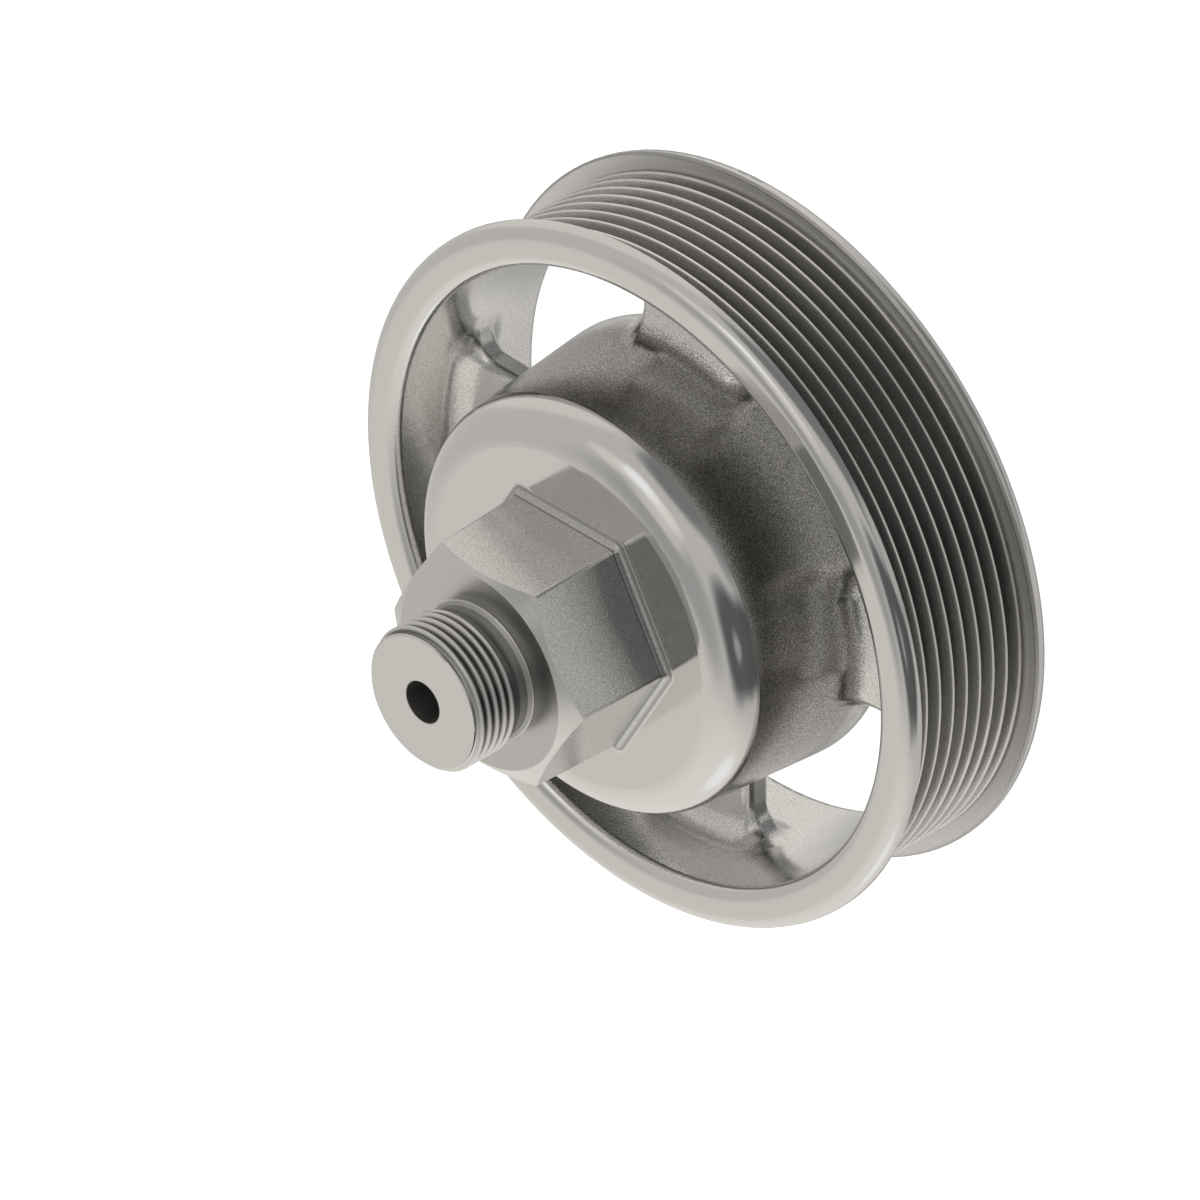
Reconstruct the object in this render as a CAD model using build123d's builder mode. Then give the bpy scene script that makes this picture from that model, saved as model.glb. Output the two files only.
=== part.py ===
from build123d import *
import math
import os

os.makedirs("parts", exist_ok=True)

# A fan drive pulley, cast in one piece and turned: a multi-rib belt rim, four
# spokes, a hub open to the rear for its bearing, a wrench hexagon and a nose
# for the fan clutch nut. Z runs along the axis with the nose up. The origin is
# on the axis, at the rear face of the rim.

# Rim
rim_r = 73.2
rim_width = 38.2
rim_outer_round = 3.0
rim_inner_round = 2.5
rim_wall = 3.4
mouth_flare = 1.65

# Belt track
groove_count = 8
rib_pitch = 3.56
crest_drop = 3.6
crest_width = 0.5
groove_depth = 3.1
groove_angle = 40.0
flange_width = 3.68
flange_edge = 0.5
valley_depth = 0.8
valley_width = 1.0

# Hub
hub_rear_z = 10.8
hub_front_z = 55.7
hub_rear_r = 46.4
hub_draft = 4.4
hub_round = 8.0

# Spokes
spoke_width = 29.0
spoke_rear_z = 16.9
spoke_thickness = 5.4
spoke_front_round = 1.9
spoke_rear_round = 1.0
hub_fillet_share = 0.45
rim_fillet_share = 0.34

# Bearing seat
seat_r = 36.0
seat_depth = 30.0
seat_lead = 1.0
relief_r = 31.0
relief_depth = 4.0

# Wrench hexagon
hex_across = 45.6
hex_height = 24.0
hex_draft = 2.0
hex_corner_round = 1.0
hex_base_fillet = 2.0
washer_inset = 1.8
hex_chamfer_angle = 30.0

# Nose
nose_r = 15.0
nose_length = 15.2
nose_chamfer = 1.2
undercut_r = 13.7
undercut_length = 2.2
undercut_fillet = 0.8
centre_hole_r = 4.45

# Derived places
crest_r = rim_r - crest_drop
root_r = crest_r - groove_depth
rim_waist_r = root_r - rim_wall
rim_mouth_r = rim_waist_r + mouth_flare
half_angle = math.radians(groove_angle / 2)
first_crest_z = flange_width + valley_width
last_wall_z = first_crest_z + groove_count * rib_pitch
root_width = rib_pitch - crest_width - 2 * groove_depth * math.tan(half_angle)
lip_rise = crest_drop * math.tan(half_angle)
hub_length = hub_front_z - hub_rear_z
hub_front_r = hub_rear_r - hub_length * math.tan(math.radians(hub_draft))
spoke_reach = rim_waist_r - hub_rear_r
hub_fillet_r = hub_fillet_share * spoke_reach
rim_fillet_r = rim_fillet_share * spoke_reach
spoke_front_z = spoke_rear_z + spoke_thickness
hex_corner_r = hex_across / 2 / math.cos(math.pi / 6)
washer_r = hex_across / 2 - washer_inset
hex_top_z = hub_front_z + hex_height
nose_end_z = hex_top_z + nose_length


def on_spoke(edge):
    middle = edge @ 0.5
    aside = min(abs(middle.X - middle.Y), abs(middle.X + middle.Y)) / math.sqrt(2)
    within = spoke_rear_z - 0.01 < middle.Z < spoke_front_z + 0.01
    return within and aside < spoke_width / 2 + 0.01


def radius_of(edge):
    middle = edge @ 0.5
    return math.hypot(middle.X, middle.Y)


def on_hexagon_side(edge):
    low = min((edge @ 0).Z, (edge @ 1).Z)
    high = max((edge @ 0).Z, (edge @ 1).Z)
    return abs(low - hub_front_z) < 0.01 and abs(high - hex_top_z) < 0.01


with BuildPart() as pulley_body:
    # Rim blank with the belt track turned into it
    with BuildSketch(Plane.XZ) as rim_section:
        with BuildLine():
            bore_wall = ThreePointArc(
                (rim_mouth_r, 0), (rim_waist_r, rim_width / 2), (rim_mouth_r, rim_width)
            )
            Polyline(
                bore_wall @ 1,
                (rim_r, rim_width),
                (rim_r, 0),
                bore_wall @ 0,
            )
        make_face()
        corners = rim_section.vertices()
        fillet(corners.filter_by(lambda v: v.X > rim_r - 0.01), rim_outer_round)
        corners = rim_section.vertices()
        fillet(corners.filter_by(lambda v: v.X < rim_mouth_r + 0.01), rim_inner_round)
        with BuildLine():
            Polyline(
                (rim_r + 1, flange_width - flange_edge - 1),
                (rim_r - flange_edge, flange_width),
                (crest_r - valley_depth, flange_width),
                (crest_r - valley_depth, first_crest_z - crest_width / 2
                 - valley_depth * math.tan(half_angle)),
                (crest_r, first_crest_z - crest_width / 2),
                (crest_r, last_wall_z - crest_width / 2),
                (rim_r - flange_edge, last_wall_z - crest_width / 2 + lip_rise
                 - flange_edge * math.tan(half_angle)),
                (rim_r + 1, last_wall_z - crest_width / 2 + lip_rise
                 - flange_edge * math.tan(half_angle) + flange_edge + 1),
                close=True,
            )
        make_face(mode=Mode.SUBTRACT)
        first_groove_z = first_crest_z + rib_pitch / 2
        for k in range(groove_count):
            groove_z = first_groove_z + k * rib_pitch
            mouth = rib_pitch - crest_width
            with BuildLine():
                Polyline(
                    (root_r, groove_z - root_width / 2),
                    (crest_r, groove_z - mouth / 2),
                    (crest_r, groove_z + mouth / 2),
                    (root_r, groove_z + root_width / 2),
                    close=True,
                )
            make_face(mode=Mode.SUBTRACT)
    revolve(axis=Axis.Z)

    # Spokes as two bars across, rounded more along their front edges than behind
    arm_reach = rim_waist_r + 0.8
    for turn in (45, 135):
        along = Vector(1, 0, 0).rotate(Axis.Z, turn)
        across = Vector(0, 1, 0).rotate(Axis.Z, turn)
        with BuildSketch(Plane(along * -arm_reach, x_dir=across, z_dir=along)) as arm_section:
            with Locations((0, spoke_rear_z + spoke_thickness / 2)):
                Rectangle(spoke_width, spoke_thickness)
            fillet(arm_section.vertices().group_by(Axis.Y)[-1], spoke_front_round)
            fillet(arm_section.vertices().group_by(Axis.Y)[0], spoke_rear_round)
        extrude(amount=2 * arm_reach)

    # Hub, rounded at both ends
    with BuildSketch(Plane.XZ):
        with BuildLine():
            Polyline(
                (0, hub_rear_z),
                (hub_rear_r, hub_rear_z),
                (hub_front_r, hub_front_z),
                (0, hub_front_z),
                close=True,
            )
        hub_section = make_face()
        fillet(hub_section.vertices().filter_by(lambda v: v.X > 1), hub_round)
    revolve(axis=Axis.Z)

    # Cast fillets where the spokes run into the hub and the rim
    roots = pulley_body.edges().filter_by(on_spoke)
    hub_roots = roots.filter_by(lambda e: radius_of(e) < hub_rear_r + 0.5)
    fillet(hub_roots, hub_fillet_r)
    roots = pulley_body.edges().filter_by(on_spoke)
    rim_roots = roots.filter_by(lambda e: rim_waist_r - 0.5 < radius_of(e) < rim_mouth_r)
    fillet(rim_roots, rim_fillet_r)

    # Bearing seat, bored from the rear
    with BuildSketch(Plane.XZ):
        with BuildLine():
            Polyline(
                (0, hub_rear_z),
                (seat_r + seat_lead, hub_rear_z),
                (seat_r, hub_rear_z + seat_lead),
                (seat_r, hub_rear_z + seat_depth),
                (relief_r, hub_rear_z + seat_depth),
                (relief_r, hub_rear_z + seat_depth + relief_depth),
                (0, hub_rear_z + seat_depth + relief_depth),
                close=True,
            )
        make_face()
    revolve(axis=Axis.Z, mode=Mode.SUBTRACT)

    # Wrench hexagon with a draft, its corners turned off to a washer face
    with BuildSketch(Plane.XY.offset(hub_front_z)):
        RegularPolygon(hex_across / 2, 6, major_radius=False, rotation=45)
    extrude(amount=hex_height, taper=hex_draft)
    hex_corners = pulley_body.edges().filter_by(on_hexagon_side)
    fillet(hex_corners, hex_corner_round)
    hex_foot = pulley_body.edges().filter_by_position(
        Axis.Z, hub_front_z - 0.01, hub_front_z + 0.01
    )
    hex_foot = hex_foot.filter_by(lambda e: radius_of(e) < hex_corner_r + 0.01)
    fillet(hex_foot, hex_base_fillet)
    corner_reach = hex_across
    with BuildSketch(Plane.XZ):
        with BuildLine():
            Polyline(
                (washer_r, hex_top_z),
                (corner_reach, hex_top_z),
                (corner_reach, hex_top_z - (corner_reach - washer_r)
                 * math.tan(math.radians(hex_chamfer_angle))),
                close=True,
            )
        make_face()
    revolve(axis=Axis.Z, mode=Mode.SUBTRACT)

    # Nose for the fan clutch nut, with its undercut and centre hole
    with BuildSketch(Plane.XZ):
        with BuildLine():
            Polyline(
                (0, hex_top_z),
                (undercut_r + undercut_fillet, hex_top_z),
                (undercut_r, hex_top_z + undercut_fillet),
                (undercut_r, hex_top_z + undercut_length),
                (nose_r, hex_top_z + undercut_length + nose_r - undercut_r),
                (nose_r, nose_end_z - nose_chamfer),
                (nose_r - nose_chamfer, nose_end_z),
                (0, nose_end_z),
                close=True,
            )
        make_face()
    revolve(axis=Axis.Z)
    with Locations((0, 0, nose_end_z)):
        Hole(centre_hole_r, depth=nose_end_z - hub_rear_z - seat_depth)

pulley_body.part.label = "pulley_body"
export_step(pulley_body.part, "parts/pulley_body.step")
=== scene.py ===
# %% [markdown]
# # A fan drive pulley in bare metal
#
# The CAD model comes ready as a fixed frame, in metres, with the pulley
# standing on the rear face of its rim and its axis along +Z. This lesson
# dresses it: a fine thread on the nose, a finer lip on the rim, a satin
# metal that changes between blasted and turned faces, a pale floor and a
# room for the metal to reflect.

# %% Load the frame
import math

import bmesh
import bpy
from mathutils import Matrix, Vector


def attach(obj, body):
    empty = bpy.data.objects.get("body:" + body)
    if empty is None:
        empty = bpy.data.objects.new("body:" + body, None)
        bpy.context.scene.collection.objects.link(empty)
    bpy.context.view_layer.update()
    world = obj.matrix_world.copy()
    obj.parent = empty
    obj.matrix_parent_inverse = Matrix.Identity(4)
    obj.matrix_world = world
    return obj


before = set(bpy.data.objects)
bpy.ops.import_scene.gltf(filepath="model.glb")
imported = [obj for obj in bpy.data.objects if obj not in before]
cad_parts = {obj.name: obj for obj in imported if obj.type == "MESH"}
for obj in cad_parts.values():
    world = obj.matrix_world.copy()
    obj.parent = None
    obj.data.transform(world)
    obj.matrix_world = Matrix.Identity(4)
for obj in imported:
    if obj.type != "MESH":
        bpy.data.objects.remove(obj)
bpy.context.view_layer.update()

MM = 0.001
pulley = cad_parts["pulley_body"]

# %% [markdown]
# The photograph is a parallel projection along the diagonal of a cube, so
# the camera is orthographic. Its right and up directions are written in
# the pulley's own frame. It aims at the middle of the axis, and its scale
# is the photo's 5.287 pixels to a millimetre. An orthographic camera shows
# the same picture from any distance, so it stands well clear of the part.

# %% Camera
PHOTO_WIDTH = 1200
PIXELS_PER_MM = 5.287
CAMERA_AWAY = 1.2
CAMERA_SEES = 5.0
AIM = Vector((0, 0, 47.5 * MM))
right = Vector((-1, -1, -math.sqrt(2))) / 2
back = Vector((0, -math.sqrt(2), 1)) / math.sqrt(3)
up = back.cross(right)
camera_data = bpy.data.cameras.new("photo_camera")
camera_data.type = "ORTHO"
camera_data.ortho_scale = PHOTO_WIDTH / PIXELS_PER_MM * MM
camera_data.clip_end = CAMERA_SEES
camera = bpy.data.objects.new("photo_camera", camera_data)
bpy.context.scene.collection.objects.link(camera)
turn = Matrix((right, up, back)).transposed().to_4x4()
camera.matrix_world = Matrix.Translation(AIM + back * CAMERA_AWAY) @ turn
bpy.context.scene.camera = camera
print("camera scale in mm", round(camera_data.ortho_scale / MM, 1))

# %% [markdown]
# The nose carries an M30 x 2 thread, left-handed as fan hubs often are.
# Half of one pitch is listed, from the middle of a root almost to the
# middle of a crest, and its mirror image makes the other half. Its first
# points round the root and its last ones round the crest, as a
# thread-cutting die leaves them.

# %% Thread profile
NOSE_R = 15.0
THREAD_PITCH = 2.0
# Places along the axis with the radius there, in mm
HALF_PROFILE = [(0.0, 13.77), (0.12, 13.79), (0.23, 13.89),
                (0.77, 14.84), (0.84, 14.95), (0.92, 14.995)]
mirrored = [(THREAD_PITCH - along, radius) for along, radius in reversed(HALF_PROFILE)]
thread_profile = HALF_PROFILE + mirrored
print("thread depth in mm", round(thread_profile[5][1] - thread_profile[0][1], 2))

# %% [markdown]
# The thread begins on a ramp out of the undercut and ends at the chamfer
# of the nose. Each point of the sweep is held within those two cones and
# between the two end circles, as if the blank had been turned first.

# %% Ends of the thread
THREAD_LOW_Z = 81.86
THREAD_RAMP_Z = 81.9
RUN_OUT_SLOPE = 0.36
UNDERCUT_R = 13.7
NOSE_END_Z = 94.9
NOSE_CHAMFER = 1.2


def hold_in_blank(z, radius):
    """The height and radius of a point of the thread, held within the turned blank."""
    chamfer_limit = NOSE_R - NOSE_CHAMFER + max(NOSE_END_Z - z, 0)
    ramp_limit = UNDERCUT_R + RUN_OUT_SLOPE * max(z - THREAD_RAMP_Z, 0)
    return min(max(z, THREAD_LOW_Z), NOSE_END_Z), min(radius, chamfer_limit, ramp_limit)


print("threaded length in mm", round(NOSE_END_Z - THREAD_LOW_Z, 2))

# %% [markdown]
# The profile is swept down a helix, point by point, so that each crest is
# one unbroken edge. A grid of plain rings would cut across the crests and
# look like a saw. The sweep starts above the nose and ends below the
# thread. What lies beyond the two ends is pressed flat onto the end
# circles, and points that meet there are welded. The height of one crest
# was measured in the photo at one angle, and the helix runs through it.

# %% Sweep the thread
CREST_Z = 85.48
CREST_ANGLE = math.radians(-135)
STEPS_PER_TURN = 144
SPARE_TURNS = 2

turns = math.ceil((NOSE_END_Z - THREAD_LOW_Z) / THREAD_PITCH) + SPARE_TURNS
top_z = CREST_Z - THREAD_PITCH / 2 + THREAD_PITCH * (turns // 2 + 1)
shape = bmesh.new()
rows = []
for step in range(turns * STEPS_PER_TURN + 1):
    angle = CREST_ANGLE + 2 * math.pi * step / STEPS_PER_TURN
    low_z = top_z - THREAD_PITCH * step / STEPS_PER_TURN
    held = [hold_in_blank(low_z + along, radius) for along, radius in thread_profile]
    rows.append([shape.verts.new((r * math.cos(angle) * MM, r * math.sin(angle) * MM, z * MM))
                 for z, r in held])
for first, second in zip(rows, rows[1:]):
    for k in range(len(thread_profile) - 1):
        shape.faces.new((first[k], second[k], second[k + 1], first[k + 1]))
print("thread swept through", turns, "turns with", len(shape.verts), "points")

# %% Weld and show the thread
WELD = 0.002 * MM


def show(name, mesh):
    """A new object in the scene with this mesh."""
    made = bpy.data.objects.new(name, mesh)
    bpy.context.scene.collection.objects.link(made)
    return made


bmesh.ops.remove_doubles(shape, verts=shape.verts, dist=WELD)
bmesh.ops.dissolve_degenerate(shape, edges=shape.edges, dist=WELD)
loose = [v for v in shape.verts if not v.link_faces]
bmesh.ops.delete(shape, geom=loose, context="VERTS")
bmesh.ops.recalc_face_normals(shape, faces=shape.faces)
thread_mesh = bpy.data.meshes.new("nose_thread")
shape.to_mesh(thread_mesh)
shape.free()
thread_mesh.shade_smooth()
thread = show("nose_thread", thread_mesh)
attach(thread, "root")
print("thread faces", len(thread_mesh.polygons))

# %% [markdown]
# The rim's front lip is the widest turned rounding and the nearest to the
# eye. The CAD mesh crosses it with a few long triangles, which show as small
# dark marks in a bright reflection. So the lip is turned again here, from
# the same radii as the CAD, as a ring of short even faces: an outer
# rounding, a flat, and an inner rounding that ends at the bore's wall.

# %% Lip profile
LIP_Z = 38.2
LIP_OUTER_R = 70.2
LIP_OUTER_ROUND = 3.0
LIP_OUTER_STEPS = 16
LIP_INNER_R = 66.87
LIP_INNER_ROUND = 2.5
LIP_INNER_ANGLE = math.radians(171.25)
LIP_INNER_STEPS = 14
LIP_FLAT_STEPS = 4


def rounding(centre_r, size, start, end, steps):
    """Points (radius, z) of a rounding under the lip's face, by angle from outwards to up."""
    angles = [start + (end - start) * k / steps for k in range(steps + 1)]
    return [(centre_r + size * math.cos(a), LIP_Z - size + size * math.sin(a)) for a in angles]


outer = rounding(LIP_OUTER_R, LIP_OUTER_ROUND, 0, math.pi / 2, LIP_OUTER_STEPS)
inner = rounding(LIP_INNER_R, LIP_INNER_ROUND, math.pi / 2, LIP_INNER_ANGLE, LIP_INNER_STEPS)
flat = [(LIP_OUTER_R + (LIP_INNER_R - LIP_OUTER_R) * k / LIP_FLAT_STEPS, LIP_Z)
        for k in range(1, LIP_FLAT_STEPS)]
lip_profile = outer + flat + inner
lip_inner_z = inner[-1][1]
print("the lip meets the bore's wall at", [round(v, 2) for v in inner[-1]])

# %% Lip
LIP_SEGMENTS = 360

points, faces = [], []
count = len(lip_profile)
for step in range(LIP_SEGMENTS):
    angle = 2 * math.pi * step / LIP_SEGMENTS
    points += [(r * math.cos(angle) * MM, r * math.sin(angle) * MM, z * MM)
               for r, z in lip_profile]
    here, there = step * count, (step + 1) % LIP_SEGMENTS * count
    faces += [(here + k, there + k, there + k + 1, here + k + 1) for k in range(count - 1)]
lip_mesh = bpy.data.meshes.new("rim_lip")
lip_mesh.from_pydata(points, [], faces)
lip_mesh.shade_smooth()
lip = show("rim_lip", lip_mesh)
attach(lip, "root")
print("lip faces", len(lip_mesh.polygons))

# %% [markdown]
# The plain wall of the nose stands where the thread's grooves should show,
# and the CAD's own lip where the finer one goes. The CAD mesh itself stays
# as it is: a small tree of geometry nodes takes those faces away as the
# mesh is shown, by the height and radius of each face. One small function
# adds a node with its settings and links, here and in the materials.

# %% Measure each face
MODIFIER = "open_for_finer_turning"


def add(tree, kind, inputs=None, **settings):
    """A new node. An input that is another node's socket is linked, any other is set."""
    made = tree.nodes.new(kind)
    for name, value in settings.items():
        setattr(made, name, value)
    for socket, value in (inputs or {}).items():
        if isinstance(value, bpy.types.NodeSocket):
            tree.links.new(value, made.inputs[socket])
        else:
            made.inputs[socket].default_value = value
    return made


opening = bpy.data.node_groups.new(MODIFIER, "GeometryNodeTree")
for in_out in ("INPUT", "OUTPUT"):
    opening.interface.new_socket("Geometry", in_out=in_out, socket_type="NodeSocketGeometry")
incoming = add(opening, "NodeGroupInput")
position = add(opening, "GeometryNodeInputPosition")
place = add(opening, "ShaderNodeSeparateXYZ", {0: position.outputs[0]})
across = add(opening, "ShaderNodeCombineXYZ", {0: place.outputs[0], 1: place.outputs[1]})
distance = add(opening, "ShaderNodeVectorMath", {0: across.outputs[0]}, operation="LENGTH")
print("nodes that measure a face", len(opening.nodes))

# %% Faces to take away
# Each group of faces lies beyond a least distance from the axis, and between
# two heights, in mm. The hairs keep a group clear of the faces beside it
HAIR = 0.01
OVER_THE_LIP = LIP_Z + 1.0
NOSE_WALL = (13.3, THREAD_RAMP_Z + HAIR, NOSE_END_Z - 5 * HAIR)
LIP_OUTSIDE = (68.5, LIP_Z - LIP_OUTER_ROUND + 2 * HAIR, OVER_THE_LIP)
LIP_INSIDE = (60.0, lip_inner_z + 2 * HAIR, OVER_THE_LIP)

unwanted = False
for least, lowest, highest in (NOSE_WALL, LIP_OUTSIDE, LIP_INSIDE):
    tests = ((place.outputs[2], lowest, "GREATER_THAN"), (place.outputs[2], highest, "LESS_THAN"),
             (distance.outputs["Value"], least, "GREATER_THAN"))
    inside = True
    for value, limit, operation in tests:
        test = add(opening, "FunctionNodeCompare", {0: value, 1: limit * MM}, operation=operation)
        inside = add(opening, "FunctionNodeBooleanMath", {0: inside, 1: test.outputs[0]},
                     operation="AND").outputs[0]
    unwanted = add(opening, "FunctionNodeBooleanMath", {0: unwanted, 1: inside},
                   operation="OR").outputs[0]
opened = add(opening, "GeometryNodeDeleteGeometry", {0: incoming.outputs[0], 1: unwanted},
             domain="FACE")
add(opening, "NodeGroupOutput", {0: opened.outputs[0]})
pulley.modifiers.new(MODIFIER, "NODES").node_group = opening
shown = pulley.evaluated_get(bpy.context.evaluated_depsgraph_get()).data
print("CAD faces", len(pulley.data.polygons), "of which shown", len(shown.polygons))

# %% [markdown]
# The part is cast steel. Its skin is blasted with fine grit, which leaves a
# soft grain. Then a lathe turns the rim, the hub's cap, the nose and the
# chamfer of the hexagon, and leaves them smoother, with faint rings. A
# painted mask would need an image. But what is turned is round, so the
# distance from the axis and the height above the rear face are enough to
# tell the finishes apart, and one material serves the whole part.

# %% Measure each point of the surface
HEX_TOP_Z = 79.7
WASHER_R = 21.0
CHAMFER_SLOPE = math.tan(math.radians(30))
CHAMFER_PLACE = HEX_TOP_Z + WASHER_R * CHAMFER_SLOPE
FIRST_CREST_Z = 4.68
RIB_PITCH = 3.56


def new_material(name):
    """A material whose node tree is still empty."""
    material = bpy.data.materials.new(name)
    material.use_nodes = True
    material.node_tree.nodes.clear()
    return material


metal = new_material("satin_blasted_steel")
tree = metal.node_tree
place = add(tree, "ShaderNodeTexCoord").outputs["Object"]
parts = add(tree, "ShaderNodeSeparateXYZ", {0: place})
across = add(tree, "ShaderNodeCombineXYZ", {0: parts.outputs[0], 1: parts.outputs[1]})
radius = add(tree, "ShaderNodeVectorMath", {0: across.outputs[0]},
             operation="LENGTH").outputs["Value"]
height = parts.outputs[2]
fall = add(tree, "ShaderNodeMath", {0: radius, 1: CHAMFER_SLOPE}, operation="MULTIPLY")
cone = add(tree, "ShaderNodeMath", {0: height, 1: fall.outputs[0]}, operation="ADD")
from_first = add(tree, "ShaderNodeMath", {0: height, 1: FIRST_CREST_Z * MM}, operation="SUBTRACT")
from_crest = add(tree, "ShaderNodeMath", {0: from_first.outputs[0], 1: RIB_PITCH / 2 * MM},
                 operation="PINGPONG")
MEASURES = {"out": radius, "up": height, "cone": cone.outputs[0], "crest": from_crest.outputs[0]}
print("each point is measured by", list(MEASURES))

# %% [markdown]
# A zone is a part of the surface with soft edges. It is a list of limits.
# Each limit says what is measured and gives two values in mm: at the first
# the zone is empty, at the second full, and it changes smoothly between
# them. "out" is the distance from the axis, "up" the height, "cone" the
# height at which a cone with the hexagon's chamfer would meet the axis, and
# "crest" the height above or below the nearest rib's crest.

# %% Zones
ZONES = {
    "turned rim": [("out", 65.3, 65.9)],
    "turned nose": [("up", 79.2, 79.6)],
    "turned lip": [("up", 37.0, 37.6), ("out", 58.0, 58.2)],
    "turned cap": [("up", 47.0, 49.0), ("up", 56.2, 55.8)],
    "turned chamfer": [("cone", CHAMFER_PLACE - 0.3, CHAMFER_PLACE - 0.1), ("up", 70.0, 70.1)],
    "inner wall": [("out", 62.3, 62.7), ("out", 65.7, 65.3)],
    "hub side": [("up", 22.0, 24.0), ("up", 48.5, 46.5), ("out", 36.5, 38.0), ("out", 48.5, 47.0)],
    "washer": [("up", 79.55, 79.6), ("up", 79.85, 79.8), ("out", 14.5, 14.6), ("out", 21.1, 21.0)],
    "foot": [("up", 55.75, 55.9), ("up", 57.45, 57.3), ("out", 19.5, 20.0), ("out", 29.5, 29.0)],
    "foot's low painted reflection": [("up", 55.74, 55.8), ("up", 56.08, 56.02), ("out", 19.5, 20.0),
                        ("out", 29.5, 29.0)],
    "foot's high painted reflection": [("up", 57.0, 57.1), ("up", 57.55, 57.45), ("out", 19.5, 20.0),
                         ("out", 29.5, 29.0)],
    "grooves": [("up", 3.5, 3.6), ("up", 34.1, 34.0), ("out", 65.3, 65.6), ("out", 69.5, 69.2)],
    "crests": [("crest", 0.17, 0.11), ("out", 69.48, 69.54), ("out", 69.76, 69.7)],
    "flange face": [("up", 3.57, 3.62), ("up", 3.79, 3.74), ("out", 67.8, 68.0),
                    ("out", 72.6, 72.4)],
    "flange edge": [("up", 3.21, 3.24), ("up", 3.69, 3.66), ("out", 72.3, 72.5)],
    "hole": [("up", 40.0, 41.0), ("out", 4.7, 4.5)],
    "nose side": [("up", 79.8, 79.9), ("up", 94.7, 94.6), ("out", 12.8, 13.0),
                  ("out", 15.7, 15.5)],
    "neck": [("up", 79.65, 79.95), ("up", 84.3, 84.0), ("out", 12.6, 13.0), ("out", 14.8, 14.4)],
    "thread roots": [("up", 82.4, 83.4), ("up", 94.5, 93.5), ("out", 12.5, 13.0),
                     ("out", 14.7, 14.2)],
}
print("zones", len(ZONES))

# %% Masks of the zones
TURNED_ZONES = [name for name in ZONES if name.startswith("turned")]

zones = {}
for name, limits in ZONES.items():
    inside = 1.0
    for measure, nothing, full in limits:
        edge = add(tree, "ShaderNodeMapRange",
                   {0: MEASURES[measure], 1: nothing * MM, 2: full * MM},
                   interpolation_type="SMOOTHSTEP")
        inside = add(tree, "ShaderNodeMath", {0: inside, 1: edge.outputs[0]},
                     operation="MULTIPLY").outputs[0]
    zones[name] = inside
turned = 0.0
for name in TURNED_ZONES:
    turned = add(tree, "ShaderNodeMath", {0: turned, 1: zones[name]},
                 operation="MAXIMUM").outputs[0]
print("turned zones", TURNED_ZONES)

# %% [markdown]
# Fine blasting leaves pits about 0.05 mm wide, and a fine feed of the lathe
# leaves rings about 0.1 mm apart. Both are finer than a pixel of the
# picture, which is 0.19 mm, and would only blur. So they are drawn three to
# five times coarser, just wide enough to show. A slow cloudy change of a few
# millimetres stands for the uneven skin of the casting, at its real size.

# %% Patterns
GRAIN_MM = 0.22      # the relief of the pits, 4 times coarser than real ones
SPECKLE_MM = 0.23    # the shade in the pits, a little wider so that the two never keep step
MOTTLE_MM = 6.0      # the cloudy skin, at its real size
RING_MM = 0.35       # the rings, 3.5 times coarser than a fine feed

patterns = []
for size, detail in ((GRAIN_MM, 0), (SPECKLE_MM, 0), (MOTTLE_MM, 4)):
    noise = add(tree, "ShaderNodeTexNoise",
                {"Vector": place, "Scale": 1 / (size * MM), "Detail": detail})
    patterns.append(noise.outputs[0])
grain, speckle, mottle = patterns
along = add(tree, "ShaderNodeMath", {0: radius, 1: height}, operation="ADD")
rings = add(tree, "ShaderNodeTexNoise",
            {"W": along.outputs[0], "Scale": 1 / (RING_MM * MM), "Detail": 1},
            noise_dimensions="1D").outputs[0]
print("patterns in mm", GRAIN_MM, SPECKLE_MM, MOTTLE_MM, RING_MM)

# %% [markdown]
# Bare steel is a light grey, and what it reflects does the rest. Each zone
# is a shade of that grey, and a later one covers an earlier one: first the
# cast skin, then the turned faces, and then the places with other greys.
# Most of these are painted shade: the grooves, the hole, the washer face
# under the nose, the neck and the roots of the thread are painted darker
# for the shade in and around them. The fillet at the foot of the hexagon is
# painted darker to dim its reflection, and two fine dark lines on it are
# painted reflections. The crests of the ribs are painted lighter, a painted
# highlight. The flange's face is a lighter grey and its edge a darker one.
# The pits of the blasting are darker, which gives the skin its dusty look.
# The crests of the ribs, the neck and the roots of the thread come after
# the pits, so they show none, as a tool or the belt leaves them.
# A photo of bare metal could be wrapped around the part instead, but it
# would carry its own reflections with it.

# %% Greys
def linear(hex_value):
    """The linear colour of an sRGB hex value, after the sRGB standard's own curve."""
    parts = [int(hex_value[k:k + 2], 16) / 255 for k in (1, 3, 5)]
    return [p / 12.92 if p <= 0.04045 else ((p + 0.055) / 1.055) ** 2.4 for p in parts] + [1]


CAST_DARK = linear("#D6D5D2")
CAST_LIGHT = linear("#E5E4E2")
PIT_DARK = linear("#6E6D6B")
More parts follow.
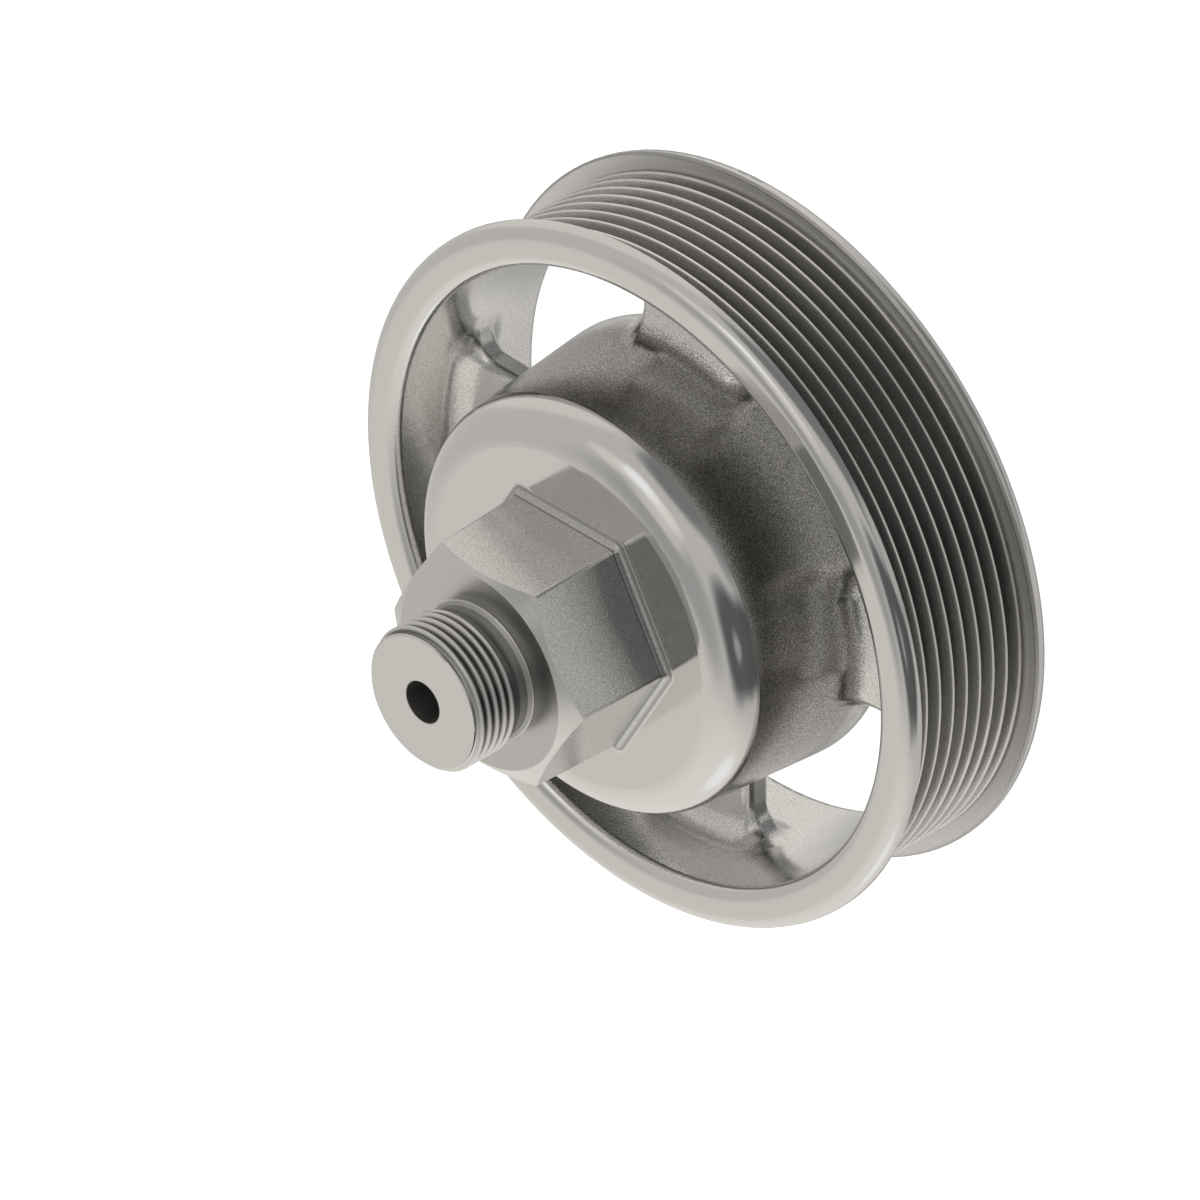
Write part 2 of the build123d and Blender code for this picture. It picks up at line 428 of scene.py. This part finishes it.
# painted reflections: the grey of two fine dark lines on the fillet at the foot of the hexagon
PAINTED_REFLECTION_LINE = linear("#9E9D9B")
GREYS = [
    (zones["inner wall"], linear("#EAE9E7")),
    (turned, linear("#CFCECC")),
    (zones["hub side"], linear("#DEDDDB")),
    # painted shade: the washer face is painted darker, for the shade under the nose
    (zones["washer"], linear("#C0BFBD")),
    # painted shade: the fillet at the foot of the hexagon is painted darker, to dim its reflection
    (zones["foot"], linear("#BDBCBA")),
    # painted reflections: two fine dark lines on the fillet at the foot of the hexagon
    (zones["foot's low painted reflection"], PAINTED_REFLECTION_LINE),
    (zones["foot's high painted reflection"], PAINTED_REFLECTION_LINE),
    # painted shade: the grooves of the belt track are painted darker, for the shade between the
    # ribs
    (zones["grooves"], linear("#B2B1AF")),
    (zones["flange face"], linear("#EFEEEC")),
    # painted shade: the hole is painted darker, for the shade inside it
    (zones["hole"], linear("#B4B3B1")),
    (zones["flange edge"], linear("#A3A2A0")),
]
GREYS_OVER_PITS = [
    # painted highlight: the crests of the ribs are painted lighter, so that they gleam all round
    (zones["crests"], linear("#EEEDEA")),
    # painted shade: the neck under the thread is painted darker, for the shade in the undercut
    (zones["neck"], linear("#A3A2A0")),
    # painted shade: the roots of the thread are painted dark, for the shade in the valleys
    (zones["thread roots"], linear("#686765")),
]
# How much of the pits' darkness each finish shows, and the part of the
# noise's range over which a pit goes from none to full
PITS = [(turned, 0.04), (zones["hub side"], 0.85), (zones["grooves"], 0.5),
        (zones["flange face"], 0.25)]
PITS_AS_CAST = 0.42
PIT_FROM, PIT_TO = 0.3, 0.7
print("greys over the casting", len(GREYS) + len(GREYS_OVER_PITS))

# %% Lay the greys
pits = PITS_AS_CAST
for zone, share in PITS:
    pits = add(tree, "ShaderNodeMix", {0: zone, 2: pits, 3: share}).outputs[0]
pit = add(tree, "ShaderNodeMapRange", {0: speckle, 1: PIT_FROM, 2: PIT_TO})
pits = add(tree, "ShaderNodeMath", {0: pits, 1: pit.outputs[0]}, operation="MULTIPLY").outputs[0]
colour = CAST_DARK
for zone, grey in [(mottle, CAST_LIGHT), *GREYS, (pits, PIT_DARK), *GREYS_OVER_PITS]:
    colour = add(tree, "ShaderNodeMix", {0: zone, 6: colour, 7: grey}, data_type="RGBA").outputs[2]
print("nodes so far", len(tree.nodes))

# %% [markdown]
# Roughness spreads a reflection. Turned steel usually has about 0.2 and
# blasted steel about 0.35. The photo's reflections are sharper than that,
# so both were brought down until they matched. The turned faces are the
# sharpest mirrors, the blasted skin blurs the room a little more, and
# places that are cut coarsely or hard to reach, such as the washer face,
# the grooves, the flange, the neck and the hole, more still. Relief gives
# the grain and the rings, and its depth changes with the finish too.

# %% Roughness and relief
ROUGH_CAST_LEAST = 0.15
ROUGH_CAST_MOST = 0.21
ROUGHNESS = [
    (turned, 0.12),
    (zones["washer"], 0.28),
    (zones["grooves"], 0.22),
    (zones["flange face"], 0.5),
    (zones["hole"], 0.42),
    (zones["flange edge"], 0.35),
    (zones["crests"], 0.5),
    (zones["nose side"], 0.28),
    (zones["neck"], 0.42),
]
GRAIN_DEPTH_CAST = 0.012 * MM
GRAIN_DEPTHS = [(turned, 0.002 * MM), (zones["grooves"], 0.03 * MM)]
RING_DEPTH = 0.006 * MM

rough = add(tree, "ShaderNodeMapRange",
            {0: mottle, 3: ROUGH_CAST_LEAST, 4: ROUGH_CAST_MOST}).outputs[0]
for zone, value in ROUGHNESS:
    rough = add(tree, "ShaderNodeMix", {0: zone, 2: rough, 3: value}).outputs[0]
grain_depth = GRAIN_DEPTH_CAST
for zone, value in GRAIN_DEPTHS:
    grain_depth = add(tree, "ShaderNodeMix", {0: zone, 2: grain_depth, 3: value}).outputs[0]
ring_depth = add(tree, "ShaderNodeMath", {0: turned, 1: RING_DEPTH}, operation="MULTIPLY")
print("zones with a roughness of their own", len(ROUGHNESS))

# %% [markdown]
# A machined edge is never sharp. The bevel node bends the shading normal
# over the last fifth of a millimetre of each edge, so that the edges catch
# a thin line of light. Grain and rings are laid over that, and all of it
# goes into one metal shader that keeps its default IOR.

# %% Satin metal
# Bare cast steel, fine blasted and then turned: to the eye a light, neutral,
# satin grey, a little darker and grainier where the skin is left as blasted
EDGE_ROUND = 0.2 * MM
EDGE_SAMPLES = 2

edge = add(tree, "ShaderNodeBevel", {"Radius": EDGE_ROUND}, samples=EDGE_SAMPLES)
skin = add(tree, "ShaderNodeBump", {
    "Height": grain, "Strength": 1.0, "Distance": grain_depth, "Normal": edge.outputs[0]})
surface = add(tree, "ShaderNodeBump", {
    "Height": rings, "Strength": 1.0, "Distance": ring_depth.outputs[0],
    "Normal": skin.outputs[0]})
shader = add(tree, "ShaderNodeBsdfPrincipled", {
    "Base Color": colour, "Metallic": 1.0, "Roughness": rough, "Normal": surface.outputs[0]})
add(tree, "ShaderNodeOutputMaterial", {0: shader.outputs[0]})
pulley.data.materials.clear()
for piece in (pulley, thread, lip):
    piece.data.materials.append(metal)
print("nodes in", metal.name, len(tree.nodes))

# %% [markdown]
# The floor is a plain sheet of matt white paper that glows, like a light
# table, so that it stays white in the windows between the spokes. Lamps
# could light it too, but the metal would show each of them. The metal
# doesn't mirror the sheet: below, it mirrors the room's own lower half. The
# sheet lies a hair below the part, so that the two never share a plane.

# %% Floor
FLOOR_HALF = 4.0
FLOOR_DROP = 0.2 * MM
PAPER_GLOW = 0.85
PAPER_ROUGH = 0.9
CLOUDS_ACROSS = 400.0    # faint clouds, as paper has, each 20 mm wide on this sheet
PAPER_DARK = linear("#F4F4F3")
PAPER_LIGHT = linear("#FAFAF9")

paper = new_material("white_paper")
tree = paper.node_tree
clouds = add(tree, "ShaderNodeTexNoise", {"Scale": CLOUDS_ACROSS})
white = add(tree, "ShaderNodeMix", {0: clouds.outputs[0], 6: PAPER_DARK, 7: PAPER_LIGHT},
            data_type="RGBA")
matt = add(tree, "ShaderNodeBsdfPrincipled", {
    "Base Color": white.outputs[2], "Roughness": PAPER_ROUGH, "Emission Color": (1, 1, 1, 1),
    "Emission Strength": PAPER_GLOW})
add(tree, "ShaderNodeOutputMaterial", {0: matt.outputs[0]})
floor_mesh = bpy.data.meshes.new("paper_floor")
corners = [(x * FLOOR_HALF, y * FLOOR_HALF, 0) for x, y in ((-1, -1), (1, -1), (1, 1), (-1, 1))]
floor_mesh.from_pydata(corners, [], [(0, 1, 2, 3)])
floor_mesh.materials.append(paper)
paper_floor = show("paper_floor", floor_mesh)
paper_floor.location.z = -FLOOR_DROP
paper_floor.visible_glossy = False
print("floor in metres", 2 * FLOOR_HALF, "square")

# %% [markdown]
# A satin metal shows the room more than itself. Lamps would give it hard
# spots, so the room itself glows: a dome whose brightness depends only on
# the direction, without any lamp. It starts as one even grey, and soft round
# patches are laid over it, each whole up to an inner angle and gone beyond
# an outer one. A wide bright one stands behind the part, dark ones stand
# beside and below the camera, and small bright ones draw the highlights
# along the roundings.

# %% The room's patches
# The level, then the azimuth and elevation of the middle, then the inner and
# outer angle, all in degrees. Azimuth runs from +X towards +Y. The camera
# stands at azimuth -90 and elevation 35
ROOM_LEVEL = 0.70
PATCHES = [
    (0.47, 0, 90, 12, 42),      # the ceiling
    (1.02, 130, 12, 16, 60),    # the wide bright wall behind the part
    (0.40, 97, -52, 14, 34),    # the darker ground at its foot
    (0.26, -95, -42, 20, 44),   # the dark ground below the camera
    (0.88, 12, -26, 28, 42),    # the lit ground on the +X side
    (0.26, -64, -12, 16, 32),   # the dark beside it, towards the camera
    (0.72, -88, 25, 5, 18),     # a small light just under the camera
    (0.80, -55, 66, 6, 20),     # four small lights, high between the camera and +X
    (1.00, -64, 49, 4, 16),
    (0.90, -20, 46, 4, 16),
    (1.25, -44, 43, 4, 15),
    (1.24, 146, 4, 4, 16),      # the brightest place of the wall behind
    (0.12, -146, -8, 18, 30),   # a black screen on the -X side, its lower half
    (0.60, -119, -34, 8, 20),   # the light that passes under it
    (0.14, -142, 19, 21, 37),   # its upper half
    (0.46, -144, 18, 3, 10),    # a small opening in it
]
print("patches in the room", len(PATCHES))

# %% Lay the patches
world = bpy.data.worlds.new("studio")
world.use_nodes = True
world.node_tree.nodes.clear()
tree = world.node_tree
direction = add(tree, "ShaderNodeTexCoord").outputs["Generated"]
level = ROOM_LEVEL
for patch_level, azimuth, elevation, inner_angle, outer_angle in PATCHES:
    around, above = math.radians(azimuth), math.radians(elevation)
    middle = (math.cos(above) * math.cos(around), math.cos(above) * math.sin(around),
              math.sin(above))
    lean = add(tree, "ShaderNodeVectorMath", {0: direction, 1: middle}, operation="DOT_PRODUCT")
    inside = add(tree, "ShaderNodeMapRange", {
        0: lean.outputs["Value"], 1: math.cos(math.radians(outer_angle)),
        2: math.cos(math.radians(inner_angle))}, interpolation_type="SMOOTHSTEP")
    level = add(tree, "ShaderNodeMix", {0: inside.outputs[0], 2: level, 3: patch_level}).outputs[0]
print("nodes in the room so far", len(tree.nodes))

# %% [markdown]
# The photo's greys are not all one grey: dark reflections are neutral,
# bright ones are a little warm, and the very brightest are cool again. So
# the tint follows the level.

# %% Tint of the light
NEUTRAL = (0.985, 0.99, 1.0, 1)
WARM = (1.0, 0.966, 0.915, 1)
COOL = (0.975, 0.98, 1.0, 1)
# Each tint comes in between two levels of the room
TINTS = [(0.2, 0.9, WARM), (1.0, 1.2, COOL)]

tint = NEUTRAL
for comes_in, is_full, new_tint in TINTS:
    share = add(tree, "ShaderNodeMapRange", {0: level, 1: comes_in, 2: is_full})
    tint = add(tree, "ShaderNodeMix", {0: share.outputs[0], 6: tint, 7: new_tint},
               data_type="RGBA").outputs[2]
sky = add(tree, "ShaderNodeBackground", {0: tint, 1: level})
add(tree, "ShaderNodeOutputWorld", {0: sky.outputs[0]})
bpy.context.scene.world = world
bpy.context.scene.view_settings.view_transform = "Standard"
print("nodes in the room", len(tree.nodes))
